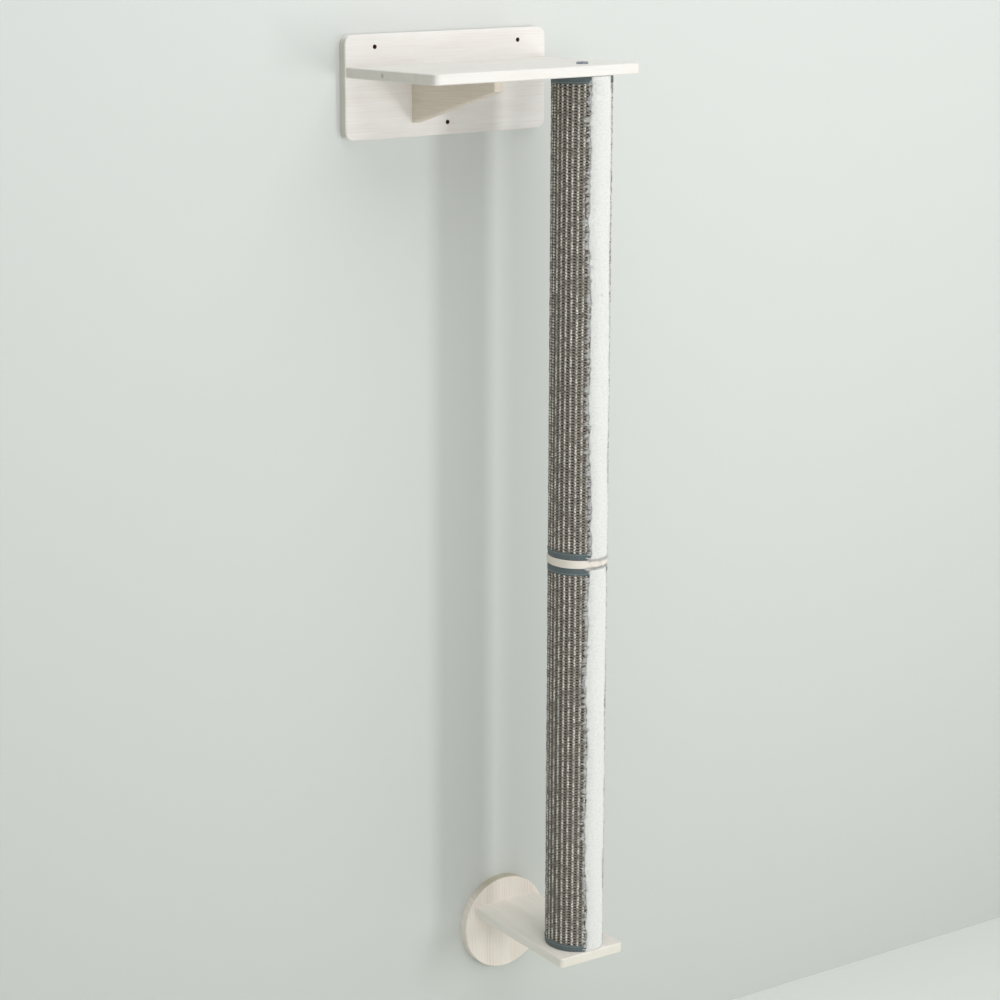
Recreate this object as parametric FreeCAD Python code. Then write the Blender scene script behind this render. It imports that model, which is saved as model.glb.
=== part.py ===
import FreeCAD, Part
import math
import os

# A wall-hung scratching post under a small shelf. Sizes are in millimetres.
# The origin is on the wall, midway between the two upper screw holes of the wall plate.
# +X points to the right, +Y into the wall and +Z up.

# Wall plate
plate_width = 350.0
plate_height = 150.0
plate_thickness = 15.0
plate_corner_radius = 14.0
wall_hole_radius = 3.0
wall_hole_spacing = 250.0
wall_hole_edge = 18.0            # from a wall hole's centre to the plate's nearer long edge

# Shelf, as wide as the plate and fixed to its front face
shelf_depth = 225.0
shelf_thickness = 15.0
shelf_drop = 45.0                # from the plate's top edge down to the shelf's top
shelf_corner_radius = 10.0
shelf_shift = 2.0                # how far its middle stands to the right of the plate's

# Gusset, the tapered bracket under the shelf
gusset_thickness = 15.0
gusset_depth = 205.0
gusset_height = 70.0
gusset_nose = 15.0               # its height at the front end
gusset_inset = 120.5             # from the plate's left edge to the gusset's middle plane

# Wall disc and foot board
disc_radius = 75.0
disc_thickness = 15.0
foot_board_width = 115.0
foot_board_thickness = 15.0
foot_board_rise = 22.5           # from the disc's centre up to the board's underside
foot_board_corner_radius = 5.0
edge_bevel = 1.2                 # the small bevel along the edges of every board

# Post: two cardboard tubes with a wooden disc between them
upper_tube_length = 700.0
lower_tube_length = 600.0
tube_radius = 40.0
tube_wall = 4.0
plug_length = 30.0
spacer_radius = 45.0
spacer_thickness = 12.0
post_side_margin = 25.5          # from the carpet to the shelf's right edge
post_front_margin = 2.0          # from the carpet to the front edges of the shelf and foot board

# Ribbed carpet, bound with tape at both ends and glued round each tube
carpet_backing = 1.5
rib_height = 2.4
rib_width = 5.2                  # at its foot
rib_crest = 2.6                  # at its top
rib_pitch = 8.6
seam_gap = 1.6
tape_width = 11.0
tape_thickness = 0.9

# Plush strip over each carpet's seam
plush_width = 38.0
plush_edge = 1.0                 # thickness along its long edges
plush_crown = 4.4                # thickness along its middle
plush_wave = 1.8                 # how far the long edges wander
plush_end_gap = 0.5
plush_facets = 8                 # flat facets across it
plush_station_spacing = 50.0     # between the level sections it is drawn through
upper_seam_top = 3.0             # how far the strip's middle stands to the right of the post's
upper_seam_bottom = 10.0         # foremost line, measured round the carpet
lower_seam_top = 7.0
lower_seam_bottom = 9.0

# Fasteners
bolt_radius = 3.9                # an M8 thread's mean, with its head and hexagon socket
bolt_length = 35.0
bolt_head_radius = 8.5
bolt_head_height = 3.0
hex_across_flats = 5.0
stud_length = 48.0
insert_bore = 4.0
insert_radius = 6.0
insert_length = 18.0
insert_flange_radius = 8.5
insert_flange_height = 1.5
screw_radius = 2.0
screw_head_radius = 4.2
screw_length = 45.0
screw_tip = 5.0
screw_sink = 0.5                 # how deep each head lies below the board's back
shelf_screw_inset = 30.0         # from the plate's side edges to the outer shelf screws
gusset_screw_inset = 18.0        # from the gusset's top and bottom to its back screws
gusset_screw_reach = 132.0       # from the plate's front to the screw through the shelf
foot_screw_spacing = 70.0
filler_radius = 4.6
filler_thickness = 2.0
nail_radius = 0.9
nail_length = 18.0
nail_head_radius = 2.2
nail_head_height = 0.8
nails_per_plug = 3
screw_sides = 12                 # flat sides in place of round ones, on the hidden pieces
shank_sides = 12
nail_sides = 6
filler_sides = 24
plug_sides = 36
wrap_sides = 48                  # flat sides of the carpet's backing and its tapes

# Clearances
glue_gap = 0.1                   # between layers that are glued together
seat_gap = 0.05                  # round screws, nails, plugs and inserts in their holes
bolt_gap = 0.4                   # round a bolt where it passes through a board

# Sizes and places worked out from the values above
right = FreeCAD.Vector(1, 0, 0)
back = FreeCAD.Vector(0, 1, 0)
front = FreeCAD.Vector(0, -1, 0)
up = FreeCAD.Vector(0, 0, 1)
down = FreeCAD.Vector(0, 0, -1)

plate_top = wall_hole_edge
plate_bottom = plate_top - plate_height
plate_left = -plate_width / 2
shelf_top = plate_top - shelf_drop
shelf_bottom = shelf_top - shelf_thickness
shelf_front = -plate_thickness - shelf_depth
gusset_x = plate_left + gusset_inset
gusset_bottom = shelf_bottom - gusset_height

carpet_inner = tube_radius + glue_gap
carpet_valley = carpet_inner + carpet_backing
carpet_outer = carpet_valley + rib_height
post_x = plate_width / 2 + shelf_shift - post_side_margin - carpet_outer
post_y = shelf_front + post_front_margin + carpet_outer
upper_bottom = shelf_bottom - upper_tube_length
lower_top = upper_bottom - spacer_thickness
foot_top = lower_top - lower_tube_length
foot_bottom = foot_top - foot_board_thickness
disc_z = foot_bottom - foot_board_rise


def point(x, y, z):
    return FreeCAD.Vector(x, y, z)


def polar(radius, angle, z):
    """A point round the post: angle in radians from the foremost line towards the right."""
    return point(post_x + radius * math.sin(angle), post_y - radius * math.cos(angle), z)


def placed(shape, origin, direction):
    """A copy of a shape made along +Z from the origin, turned to a direction and moved."""
    copy = shape.copy()
    copy.Placement = FreeCAD.Placement(origin, FreeCAD.Rotation(up, direction))
    return copy


def polygon_face(corners):
    return Part.Face(Part.makePolygon(corners + corners[:1]))


def revolved(profile, origin, direction):
    """A solid of revolution from (radius, height) points, along a direction from an origin."""
    face = polygon_face([point(radius, 0, height) for radius, height in profile])
    return placed(face.revolve(point(0, 0, 0), up, 360), origin, direction)


def faceted(profile, sides, origin, direction):
    """As revolved, but with a few flat sides in place of each round face."""
    turns = [2 * math.pi * side / sides for side in range(sides + 1)]
    faces = []
    for start, end in zip(profile, profile[1:] + profile[:1]):
        for turn, following in zip(turns, turns[1:]):
            corners = [at_turn(start, turn), at_turn(end, turn)]
            corners += [at_turn(end, following), at_turn(start, following)]
            distinct = [corner for number, corner in enumerate(corners)
                        if not corner.isEqual(corners[number - 1], 1e-9)]
            if len(distinct) > 2:
                faces.append(polygon_face(distinct))
    solid = Part.Solid(Part.Shell(faces)).removeSplitter()
    return placed(solid, origin, direction)


def at_turn(station, turn):
    """The point of a (radius, height) station at an angle round +Z."""
    radius, height = station
    return point(radius * math.cos(turn), radius * math.sin(turn), height)


def without(solid, *tools):
    """The solid with every tool cut out of it."""
    for tool in tools:
        solid = solid.cut(tool)
    return solid


def eased(solid, chosen):
    """The solid with the chosen edges bevelled."""
    return solid.makeChamfer(edge_bevel, [edge for edge in solid.Edges if chosen(edge)])


def on_plane(edge, axis, value):
    """Whether an edge lies in the plane where that coordinate has that value."""
    box = edge.BoundBox
    low, high = {"y": (box.YMin, box.YMax), "z": (box.ZMin, box.ZMax)}[axis]
    return abs(low - value) < 1e-6 and abs(high - value) < 1e-6


def export(name, *solids):
    """Write one or more solids as the node of that name."""
    shape = solids[0] if len(solids) == 1 else Part.makeCompound(list(solids))
    shape.exportStep("parts/" + name + ".step")


# Fasteners, made along +Z with the top of the head at the origin and the tip below it


def screw_profile(gap, top):
    """Half section of a countersunk wood screw, grown by a gap, with its head drawn out to a top."""
    shank = screw_radius + gap
    head = screw_head_radius + gap
    rim = 0.4 + gap
    return [(0, top), (head, top), (head, -rim), (shank, -rim - head + shank),
            (shank, screw_tip - screw_length), (0, -screw_length - gap)]


def screw(head, direction):
    """A wood screw whose head lies at a point and faces a direction."""
    return faceted(screw_profile(0, 0), screw_sides, head, direction)


def screw_hole(head, direction):
    """The space that a screw and its countersink take out of the boards."""
    return faceted(screw_profile(seat_gap, plate_thickness), screw_sides, head, direction)


def bolt(head, direction):
    """A flat-headed bolt with a hexagon socket; the head's underside is at the point."""
    rim = bolt_head_radius
    crown = bolt_head_height
    ease = bolt_head_height / 5
    cap = revolved([(0, crown), (rim - 2 * ease, crown), (rim, crown - ease), (rim, 0), (0, 0)],
                   point(0, 0, 0), up)
    shank = faceted([(0, 0), (bolt_radius, 0), (bolt_radius, ease - bolt_length),
                     (bolt_radius - ease, -bolt_length), (0, -bolt_length)],
                    shank_sides, point(0, 0, 0), up)
    depth = crown * 0.8
    socket = faceted([(0, 0), (hex_across_flats / math.sqrt(3), 0),
                      (hex_across_flats / math.sqrt(3), depth), (0, depth)],
                     6, point(0, 0, crown - depth), up)
    return placed(cap.fuse(shank).cut(socket), head, direction)


def stud(bottom):
    """The threaded rod that joins the two tubes."""
    profile = [(0, 0), (bolt_radius, 0), (bolt_radius, stud_length), (0, stud_length)]
    return faceted(profile, shank_sides, bottom, up)


def insert(mouth, direction):
    """A threaded sleeve with a flange, its flange's face at the plug's end."""
    step = insert_flange_height
    profile = [(insert_bore, 0), (insert_flange_radius, 0), (insert_flange_radius, -step),
               (insert_radius, -step), (insert_radius, -insert_length),
               (insert_bore, -insert_length)]
    return faceted(profile, shank_sides, mouth, direction)


def insert_hole(mouth, direction):
    """The stepped hole in a plug for an insert and the bolt that passes through it."""
    step = insert_flange_height + seat_gap
    flange = insert_flange_radius + seat_gap
    sleeve = insert_radius + seat_gap
    profile = [(0, 0), (flange, 0), (flange, -step), (sleeve, -step), (sleeve, -plug_length),
               (0, -plug_length)]
    return faceted(profile, shank_sides, mouth, direction)


def nail_places(plug_middle):
    """The head's place and outward direction of each nail round a plug."""
    head_radius = math.sqrt(tube_radius ** 2 - nail_head_radius ** 2)
    for number in range(nails_per_plug):
        angle = 2 * math.pi * (number + 0.5) / nails_per_plug
        outward = polar(1, angle, 0) - polar(0, angle, 0)
        yield polar(head_radius - glue_gap, angle, plug_middle), outward


def nails(plug_middles, gap):
    """The nails that hold a tube's plugs, or their holes when grown by a gap."""
    shank = nail_radius + gap
    head = nail_head_radius + gap
    profile = [(0, gap), (head, gap), (head, -nail_head_height - gap),
               (shank, -nail_head_height - gap), (shank, 2 * nail_radius - nail_length),
               (0, -nail_length - gap)]
    return [faceted(profile, nail_sides, place, outward)
            for plug_middle in plug_middles
            for place, outward in nail_places(plug_middle)]


# Boards


def rounded_outline(width, height, radius):
    """A rectangle with round corners, centred on the origin of the XY plane."""
    outline = Part.makePlane(width, height, point(-width / 2, -height / 2, 0))
    board = outline.extrude(up)
    board = board.makeFillet(radius, [edge for edge in board.Edges if edge.BoundBox.ZLength > 0.5])
    return [face for face in board.Faces if face.BoundBox.ZMax < 0.5][0]


def shelf_screw_places():
    """Heads of the three screws through the plate into the shelf's back edge."""
    reach = plate_width / 2 - shelf_screw_inset
    height = shelf_top - shelf_thickness / 2
    return [point(x, -screw_sink, height) for x in (-reach, 0, reach)]


def gusset_screw_places():
    """Heads of the two screws through the plate into the gusset's back edge."""
    heights = (shelf_bottom - gusset_screw_inset, gusset_bottom + gusset_screw_inset)
    return [point(gusset_x, -screw_sink, height) for height in heights]


def gusset_top_screw_place():
    """Head of the screw through the shelf into the gusset, under its filler."""
    return point(gusset_x, -plate_thickness - gusset_screw_reach, shelf_top - filler_thickness)


def filler(gap):
    """The wood filler over that screw's head, grown sideways by a gap."""
    radius = filler_radius + gap
    profile = [(0, 0), (radius, 0), (radius, filler_thickness), (0, filler_thickness)]
    return faceted(profile, filler_sides, gusset_top_screw_place(), up)


def foot_screw_places():
    """Heads of the two screws through the disc into the foot board's back edge."""
    height = foot_top - foot_board_thickness / 2
    reach = foot_screw_spacing / 2
    return [point(post_x + side, -screw_sink, height) for side in (-reach, reach)]


def wall_hole_places():
    """Centres of the plate's three wall screw holes."""
    reach = wall_hole_spacing / 2
    return [point(-reach, 0, 0), point(reach, 0, 0), point(0, 0, plate_bottom + wall_hole_edge)]


def wall_plate():
    """The upper board on the wall, with its wall screw holes and countersunk back."""
    outline = rounded_outline(plate_width, plate_height, plate_corner_radius)
    board = placed(outline.extrude(up * plate_thickness),
                   point(0, 0, (plate_top + plate_bottom) / 2), front)
    board = eased(board, lambda edge: on_plane(edge, "y", -plate_thickness))
    holes = [Part.makeCylinder(wall_hole_radius, plate_thickness, place, front)
             for place in wall_hole_places()]
    pockets = [screw_hole(place, back) for place in shelf_screw_places() + gusset_screw_places()]
    return without(board, *holes, *pockets)


def shelf_board():
    """The shelf, with round front corners, screw holes and the post's bolt hole."""
    board = front_board(plate_width, shelf_depth, shelf_thickness, shelf_corner_radius,
                        shelf_shift, -plate_thickness, shelf_bottom)
    head = gusset_top_screw_place()
    filler_hole = filler(seat_gap)
    bolt_hole = Part.makeCylinder(bolt_radius + bolt_gap, shelf_thickness,
                                  point(post_x, post_y, shelf_bottom), up)
    pockets = [screw_hole(place, back) for place in shelf_screw_places()]
    return without(board, filler_hole, bolt_hole, screw_hole(head, up), *pockets)


def front_board(width, depth, thickness, corner_radius, middle, rear, underside):
    """A level board that reaches forward from a wall board, with its two front corners round."""
    board = Part.makeBox(width, depth, thickness, point(middle - width / 2, rear - depth, underside))
    corners = [edge for edge in board.Edges
               if edge.BoundBox.ZLength > thickness / 2 and edge.BoundBox.YMax < rear - depth / 2]
    board = board.makeFillet(corner_radius, corners)
    levels = (underside, underside + thickness)
    return eased(board, lambda edge: any(on_plane(edge, "z", level) for level in levels)
                 and not on_plane(edge, "y", rear))


def gusset():
    """The tapered bracket that stiffens the shelf, with its three screw holes."""
    rear = -plate_thickness
    tip = rear - gusset_depth
    side = gusset_x - gusset_thickness / 2
    corners = [point(side, rear, shelf_bottom), point(side, tip, shelf_bottom),
               point(side, tip, shelf_bottom - gusset_nose), point(side, rear, gusset_bottom)]
    face = Part.Face(Part.makePolygon(corners + corners[:1]))
    board = face.extrude(right * gusset_thickness)
    board = eased(board, lambda edge: edge.BoundBox.XLength < 1e-6
                  and not on_plane(edge, "y", rear) and not on_plane(edge, "z", shelf_bottom))
    pockets = [screw_hole(place, back) for place in gusset_screw_places()]
    return without(board, screw_hole(gusset_top_screw_place(), up), *pockets)


def foot_board():
    """The board under the post, fixed to the wall disc."""
    rear = -disc_thickness
    depth = rear - (post_y - carpet_outer - post_front_margin)
    board = front_board(foot_board_width, depth, foot_board_thickness, foot_board_corner_radius,
                        post_x, rear, foot_bottom)
    bolt_hole = Part.makeCylinder(bolt_radius + bolt_gap, foot_board_thickness,
                                  point(post_x, post_y, foot_bottom), up)
    return without(board, bolt_hole, *[screw_hole(place, back) for place in foot_screw_places()])


def wall_disc():
    """The round board on the wall, with its own wall screw hole under the foot board."""
    middle = point(post_x, 0, disc_z)
    board = Part.makeCylinder(disc_radius, disc_thickness, middle, front)
    board = eased(board, lambda edge: on_plane(edge, "y", -disc_thickness))
    hole = Part.makeCylinder(wall_hole_radius, disc_thickness, middle, front)
    return without(board, hole, *[screw_hole(place, back) for place in foot_screw_places()])


# Post


def spacer_disc():
    """The wooden disc between the two tubes, with the stud's hole."""
    radius = spacer_radius
    ease = edge_bevel
    hole = bolt_radius + bolt_gap
    profile = [(hole, 0), (radius - ease, 0), (radius, ease), (radius, spacer_thickness - ease),
               (radius - ease, spacer_thickness), (hole, spacer_thickness)]
    return revolved(profile, point(post_x, post_y, lower_top), up)


def tube(bottom, length):
    """A cardboard tube with the nail holes of its two plugs."""
    inner = tube_radius - tube_wall
    profile = [(inner, 0), (tube_radius, 0), (tube_radius, length), (inner, length)]
    wall = revolved(profile, point(post_x, post_y, bottom), up)
    return without(wall, *nails(plug_middles(bottom, length), seat_gap))


def plug_middles(bottom, length):
    """Heights of the middles of a tube's two plugs."""
    return bottom + plug_length / 2, bottom + length - plug_length / 2


def plug(end, outward, middle):
    """A wooden plug in a tube's end, drilled for its insert and its nails."""
    radius = tube_radius - tube_wall - seat_gap
    profile = [(0, 0), (radius, 0), (radius, -plug_length), (0, -plug_length)]
    body = faceted(profile, plug_sides, end, outward)
    return without(body, insert_hole(end, outward), *nails([middle], seat_gap))


def seam_angle(offset):
    """The angle of a line at a distance round the carpet from the foremost line."""
    return offset / carpet_outer


def wrap_angles(seam, sides):
    """Even angles from one side of the seam right round to the other."""
    half_gap = seam_gap / 2 / carpet_outer
    first = seam + half_gap
    last = seam + 2 * math.pi - half_gap
    return [first + (last - first) * side / sides for side in range(sides + 1)]


def outer_corners(radius, angles, z):
    """Corners of an outer surface, on its circle round the post."""
    return [polar(radius, angle, z) for angle in angles]


def inner_corners(radius, angles, z):
    """Corners of an inner surface in turn back, whose flat sides touch its circle from outside."""
    reach = radius / math.cos((angles[1] - angles[0]) / 2)
    return [polar(reach, angle, z) for angle in reversed(angles)]


def plain_wrap(seam, inner, outer, bottom, height):
    """A layer of even thickness wrapped round the tube up to its seam."""
    angles = wrap_angles(seam, wrap_sides)
    corners = outer_corners(outer, angles, bottom) + inner_corners(inner, angles, bottom)
    return polygon_face(corners).extrude(up * height)


def ribbed_wrap(seam, bottom, height):
    """The carpet between its tapes: upright ribs on a thin backing, with an open seam."""
    round_length = 2 * math.pi * carpet_outer - seam_gap
    bounds = wrap_angles(seam, int(round_length / rib_pitch))
    half_foot = rib_width / 2 / carpet_valley
    half_crest = rib_crest / 2 / carpet_outer
    corners = outer_corners(carpet_valley, bounds[:1], bottom)
    for start, end in zip(bounds, bounds[1:]):
        middle = (start + end) / 2
        corners += outer_corners(carpet_valley, [middle - half_foot], bottom)
        corners += outer_corners(carpet_outer, [middle - half_crest, middle + half_crest], bottom)
        corners += outer_corners(carpet_valley, [middle + half_foot], bottom)
    corners += outer_corners(carpet_valley, bounds[-1:], bottom)
    corners += inner_corners(carpet_inner, wrap_angles(seam, wrap_sides), bottom)
    return polygon_face(corners).extrude(up * height)


def carpet(seam, bottom, length):
    """A carpet sleeve whose ends are pressed flat under their binding tapes."""
    pressed = carpet_outer - tape_thickness - glue_gap
    end_gap = tape_thickness + glue_gap
    flat = tape_width - end_gap
    ribs = ribbed_wrap(seam, bottom + tape_width, length - 2 * tape_width)
    lower_end = plain_wrap(seam, carpet_inner, pressed, bottom + end_gap, flat)
    upper_end = plain_wrap(seam, carpet_inner, pressed, bottom + length - tape_width, flat)
    return ribs.fuse(lower_end).fuse(upper_end).removeSplitter()


def tape(seam, end, inward):
    """Binding tape folded over a carpet's end: a leg outside it and a lip across its edge."""
    corner = min(end, end + inward * tape_width)
    lip_bottom = min(end, end + inward * tape_thickness)
    leg = plain_wrap(seam, carpet_outer - tape_thickness, carpet_outer, corner, tape_width)
    lip = plain_wrap(seam, carpet_inner, carpet_outer, lip_bottom, tape_thickness)
    return leg.fuse(lip).removeSplitter()


def wander(share, phase):
    """How far a long edge of the plush strays, from a long wave and a shorter one."""
    long_wave = math.sin(2 * math.pi * 2.3 * share + phase)
    short_wave = math.sin(2 * math.pi * 5.1 * share + 2 * phase)
    return plush_wave * (0.6 * long_wave + 0.4 * short_wave)


def plush_section(middle, share, z):
    """A crowned section of the plush strip, lying on the carpet's ribs."""
    inner = carpet_outer + glue_gap
    left = middle - plush_width / 2 + wander(share, 0.4)
    right_side = middle + plush_width / 2 + wander(share, 2.1)
    shares = [number / plush_facets for number in range(plush_facets + 1)]
    angles = [seam_angle(left + (right_side - left) * across) for across in shares]
    heights = [plush_edge + (plush_crown - plush_edge) * (1 - (2 * across - 1) ** 2)
               for across in shares]
    crowned = [polar(inner + height, angle, z) for height, angle in zip(heights, angles)]
    corners = crowned + inner_corners(inner, angles, z)
    return Part.makePolygon(corners + corners[:1])


def plush_strip(seam_bottom, seam_top, bottom, length):
    """The plush strip that covers a carpet's seam, drawn straight from section to section."""
    count = max(4, round(length / plush_station_spacing))
    sections = []
    for number in range(count + 1):
        share = number / count
        middle = seam_bottom + (seam_top - seam_bottom) * share
        z = bottom + plush_end_gap + (length - 2 * plush_end_gap) * share
        sections.append(plush_section(middle, share, z))
    return Part.makeLoft(sections, True, True)


def export_post_segment(name, bottom, length, seam_bottom, seam_top):
    """One tube of the post with its plugs, inserts, nails, carpet, tapes and plush."""
    top = bottom + length
    seam = seam_angle((seam_bottom + seam_top) / 2)
    low_middle, high_middle = plug_middles(bottom, length)
    low_end = point(post_x, post_y, bottom)
    high_end = point(post_x, post_y, top)
    export(name + "_tube", tube(bottom, length))
    export(name + "_tube_bottom_plug", plug(low_end, down, low_middle))
    export(name + "_tube_top_plug", plug(high_end, up, high_middle))
    export(name + "_bottom_insert", insert(low_end, down))
    export(name + "_top_insert", insert(high_end, up))
    export(name + "_plug_nails", *nails([low_middle, high_middle], 0))
    export(name + "_carpet", carpet(seam, bottom, length))
    export(name + "_carpet_bottom_tape", tape(seam, bottom, 1))
    export(name + "_carpet_top_tape", tape(seam, top, -1))
    export(name + "_plush_strip", plush_strip(seam_bottom, seam_top, bottom, length))


def export_boards():
    """The five boards and the disc between the tubes."""
    export("wall_plate", wall_plate())
    export("shelf_board", shelf_board())
    export("gusset_bracket", gusset())
    export("foot_board", foot_board())
    export("wall_disc", wall_disc())
    export("spacer_disc", spacer_disc())


def export_fasteners():
    """Screws, bolts and the stud, each at its place."""
    head = gusset_top_screw_place()
    stud_bottom = point(post_x, post_y, lower_top + (spacer_thickness - stud_length) / 2)
    export("shelf_screws", *[screw(place, back) for place in shelf_screw_places()])
    export("gusset_back_screws", *[screw(place, back) for place in gusset_screw_places()])
    export("gusset_top_screw", screw(head, up))
    export("gusset_screw_filler", filler(0))
    export("foot_board_screws", *[screw(place, back) for place in foot_screw_places()])
    export("top_bolt", bolt(point(post_x, post_y, shelf_top), up))
    export("joining_stud", stud(stud_bottom))
    export("foot_bolt", bolt(point(post_x, post_y, foot_bottom), down))


os.makedirs("parts", exist_ok=True)
export_boards()
export_post_segment("upper", upper_bottom, upper_tube_length, upper_seam_bottom, upper_seam_top)
export_post_segment("lower", foot_top, lower_tube_length, lower_seam_bottom, lower_seam_top)
export_fasteners()
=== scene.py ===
# %% [markdown]
# # A scratching post on the wall
# The object is a small shelf on a wall plate, a round post wrapped in ribbed carpet under it, and
# a foot board on a round wall disc. Its boards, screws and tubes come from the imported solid
# model, which is loaded as a fixed frame. The soft pieces are made here: carpets, binding tapes
# and plush strips.

# %% Load the frame
import bpy
import math
import numpy as np
from mathutils import Matrix, Vector


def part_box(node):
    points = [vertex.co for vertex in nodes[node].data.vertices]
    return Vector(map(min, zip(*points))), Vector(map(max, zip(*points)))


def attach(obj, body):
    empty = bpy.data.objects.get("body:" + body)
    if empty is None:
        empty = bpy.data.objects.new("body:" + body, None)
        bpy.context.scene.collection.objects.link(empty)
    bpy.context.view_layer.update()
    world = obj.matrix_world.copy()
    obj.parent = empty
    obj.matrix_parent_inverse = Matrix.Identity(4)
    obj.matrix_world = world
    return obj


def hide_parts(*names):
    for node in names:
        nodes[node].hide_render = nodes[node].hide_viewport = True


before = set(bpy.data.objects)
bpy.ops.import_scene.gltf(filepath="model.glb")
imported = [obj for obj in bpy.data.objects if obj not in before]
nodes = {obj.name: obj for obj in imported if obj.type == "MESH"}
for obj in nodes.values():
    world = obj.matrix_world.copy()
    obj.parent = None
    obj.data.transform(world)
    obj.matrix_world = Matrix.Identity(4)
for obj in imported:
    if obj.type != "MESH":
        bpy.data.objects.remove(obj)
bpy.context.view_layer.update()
mm = 0.001

# %% [markdown]
# Everything on the post is placed by an angle round its axis and a height. The axis is read from
# the spacer disc between the two tubes, so the soft pieces stay centred on the wood that carries
# them.

# %% The post's axis
low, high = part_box("spacer_disc")
axis_x = (low.x + high.x) / 2
axis_y = (low.y + high.y) / 2
print("post axis at", round(axis_x, 4), round(axis_y, 4))


def round_post(radius, angle, height):
    """Points on the post: the axis plus radius times (sin angle, -cos angle), at a height."""
    radius, angle, height = np.broadcast_arrays(radius, angle, height)
    x = axis_x + radius * np.sin(angle)
    y = axis_y - radius * np.cos(angle)
    return np.stack([x, y, height], axis=-1)


# %% [markdown]
# A woven sheet, a tape or a strand of pile is a grid of points: rows run one way and columns the
# other. One helper turns any stack of such grids into a mesh with whole arrays, so a hundred
# thousand faces cost no loop. Each grid's own coordinates go into the UV map, where the materials
# read them.

# %% From grids of points to a piece
def piece(name, points, uv, closed=False, capped=False):
    """A mesh from points (grids, rows, columns, 3), with a quad between every four neighbours.

    closed joins the last column to the first, and then uv has one column more than points;
    capped fills the first and last row of each grid with one face.
    """
    grids, rows, columns = points.shape[:3]
    index = np.arange(grids * rows * columns).reshape(grids, rows, columns)
    wrapped = np.concatenate([index, index[:, :, :1]], axis=2) if closed else index
    corners = [(slice(None, -1), slice(None, -1)), (slice(None, -1), slice(1, None)),
               (slice(1, None), slice(1, None)), (slice(1, None), slice(None, -1))]
    quads = np.stack([wrapped[:, r, c] for r, c in corners], axis=-1)
    quad_uv = np.stack([uv[:, r, c] for r, c in corners], axis=-2)
    loops = quads.ravel()
    loop_uv = quad_uv.reshape(-1, 2)
    starts = np.arange(0, loops.size, 4)
    if capped:
        caps = np.concatenate([index[:, 0, ::-1], index[:, -1]]).ravel()
        starts = np.append(starts, loops.size + np.arange(0, caps.size, columns))
        cap_uv = np.concatenate([uv[:, 0, columns - 1::-1], uv[:, -1, :columns]]).reshape(-1, 2)
        loops = np.append(loops, caps)
        loop_uv = np.concatenate([loop_uv, cap_uv])
    mesh = bpy.data.meshes.new(name)
    mesh.vertices.add(index.size)
    mesh.vertices.foreach_set("co", points.astype(np.float32).ravel())
    mesh.loops.add(loops.size)
    mesh.loops.foreach_set("vertex_index", loops.astype(np.int32))
    mesh.polygons.add(starts.size)
    mesh.polygons.foreach_set("loop_start", starts.astype(np.int32))
    mesh.uv_layers.new(name="UVMap").data.foreach_set("uv", loop_uv.astype(np.float32).ravel())
    mesh.update(calc_edges=True)
    mesh.shade_smooth()
    thing = bpy.data.objects.new(name, mesh)
    bpy.context.scene.collection.objects.link(thing)
    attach(thing, "root")
    print(name, index.size, "points", starts.size, "faces")
    return thing


def smooth_noise(shape, cells, seed):
    """Random values from -1 to 1 on a coarse lattice, drawn out to a shape by cosine steps."""
    lattice = np.random.default_rng(seed).uniform(-1, 1, (cells[0] + 1, cells[1] + 1))
    result = lattice
    for side in (0, 1):
        place = np.linspace(0, cells[side], shape[side])
        start = np.minimum(place.astype(int), cells[side] - 1)
        blend = 0.5 - 0.5 * np.cos(math.pi * (place - start))
        result = np.moveaxis(result, side, -1)
        result = result[..., start] * (1 - blend) + result[..., start + 1] * blend
        result = np.moveaxis(result, -1, side)
    return result


# %% [markdown]
# ## Materials
# A material is a small network of nodes. The next helper adds a node, sets it up and plugs in
# what feeds it, so each material below reads as a short list. Patterns that more than one
# material needs become shader node groups with named sockets.

# %% Helpers for node trees
def add_node(tree, kind, feeds=None, **settings):
    """A new node with its properties set; feeds gives an input a value or another node's output."""
    node = tree.nodes.new(kind)
    for name, value in settings.items():
        setattr(node, name, value)
    for socket, value in (feeds or {}).items():
        if isinstance(value, bpy.types.NodeSocket):
            tree.links.new(value, node.inputs[socket])
        else:
            node.inputs[socket].default_value = value
    return node


def maths(tree, operation, *values):
    """The result of one Math node."""
    return add_node(tree, "ShaderNodeMath", dict(enumerate(values)), operation=operation).outputs[0]


def plus(tree, first, second):
    """The sum of two values."""
    return maths(tree, "ADD", first, second)


def times(tree, first, second):
    """The product of two values."""
    return maths(tree, "MULTIPLY", first, second)


def colour_mix(tree, factor, first, second, blend="MIX"):
    """Two colours mixed by a factor."""
    node = add_node(tree, "ShaderNodeMix", data_type="RGBA", blend_type=blend)
    for socket, value in ((0, factor), (6, first), (7, second)):
        if isinstance(value, bpy.types.NodeSocket):
            tree.links.new(value, node.inputs[socket])
        else:
            node.inputs[socket].default_value = value
    return node.outputs[2]


def remap(tree, value, low_in, high_in, low_out=0.0, high_out=1.0):
    """A value moved smoothly from one range to another."""
    return add_node(tree, "ShaderNodeMapRange",
                    {0: value, 1: low_in, 2: high_in, 3: low_out, 4: high_out},
                    interpolation_type="SMOOTHSTEP").outputs[0]


def noise(tree, vector, scale, detail=3.0, roughness=0.55):
    """The value of a Noise texture, about 0 to 1."""
    return add_node(tree, "ShaderNodeTexNoise", {"Vector": vector, "Scale": scale, "Detail": detail,
                                                "Roughness": roughness}).outputs[0]


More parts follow.
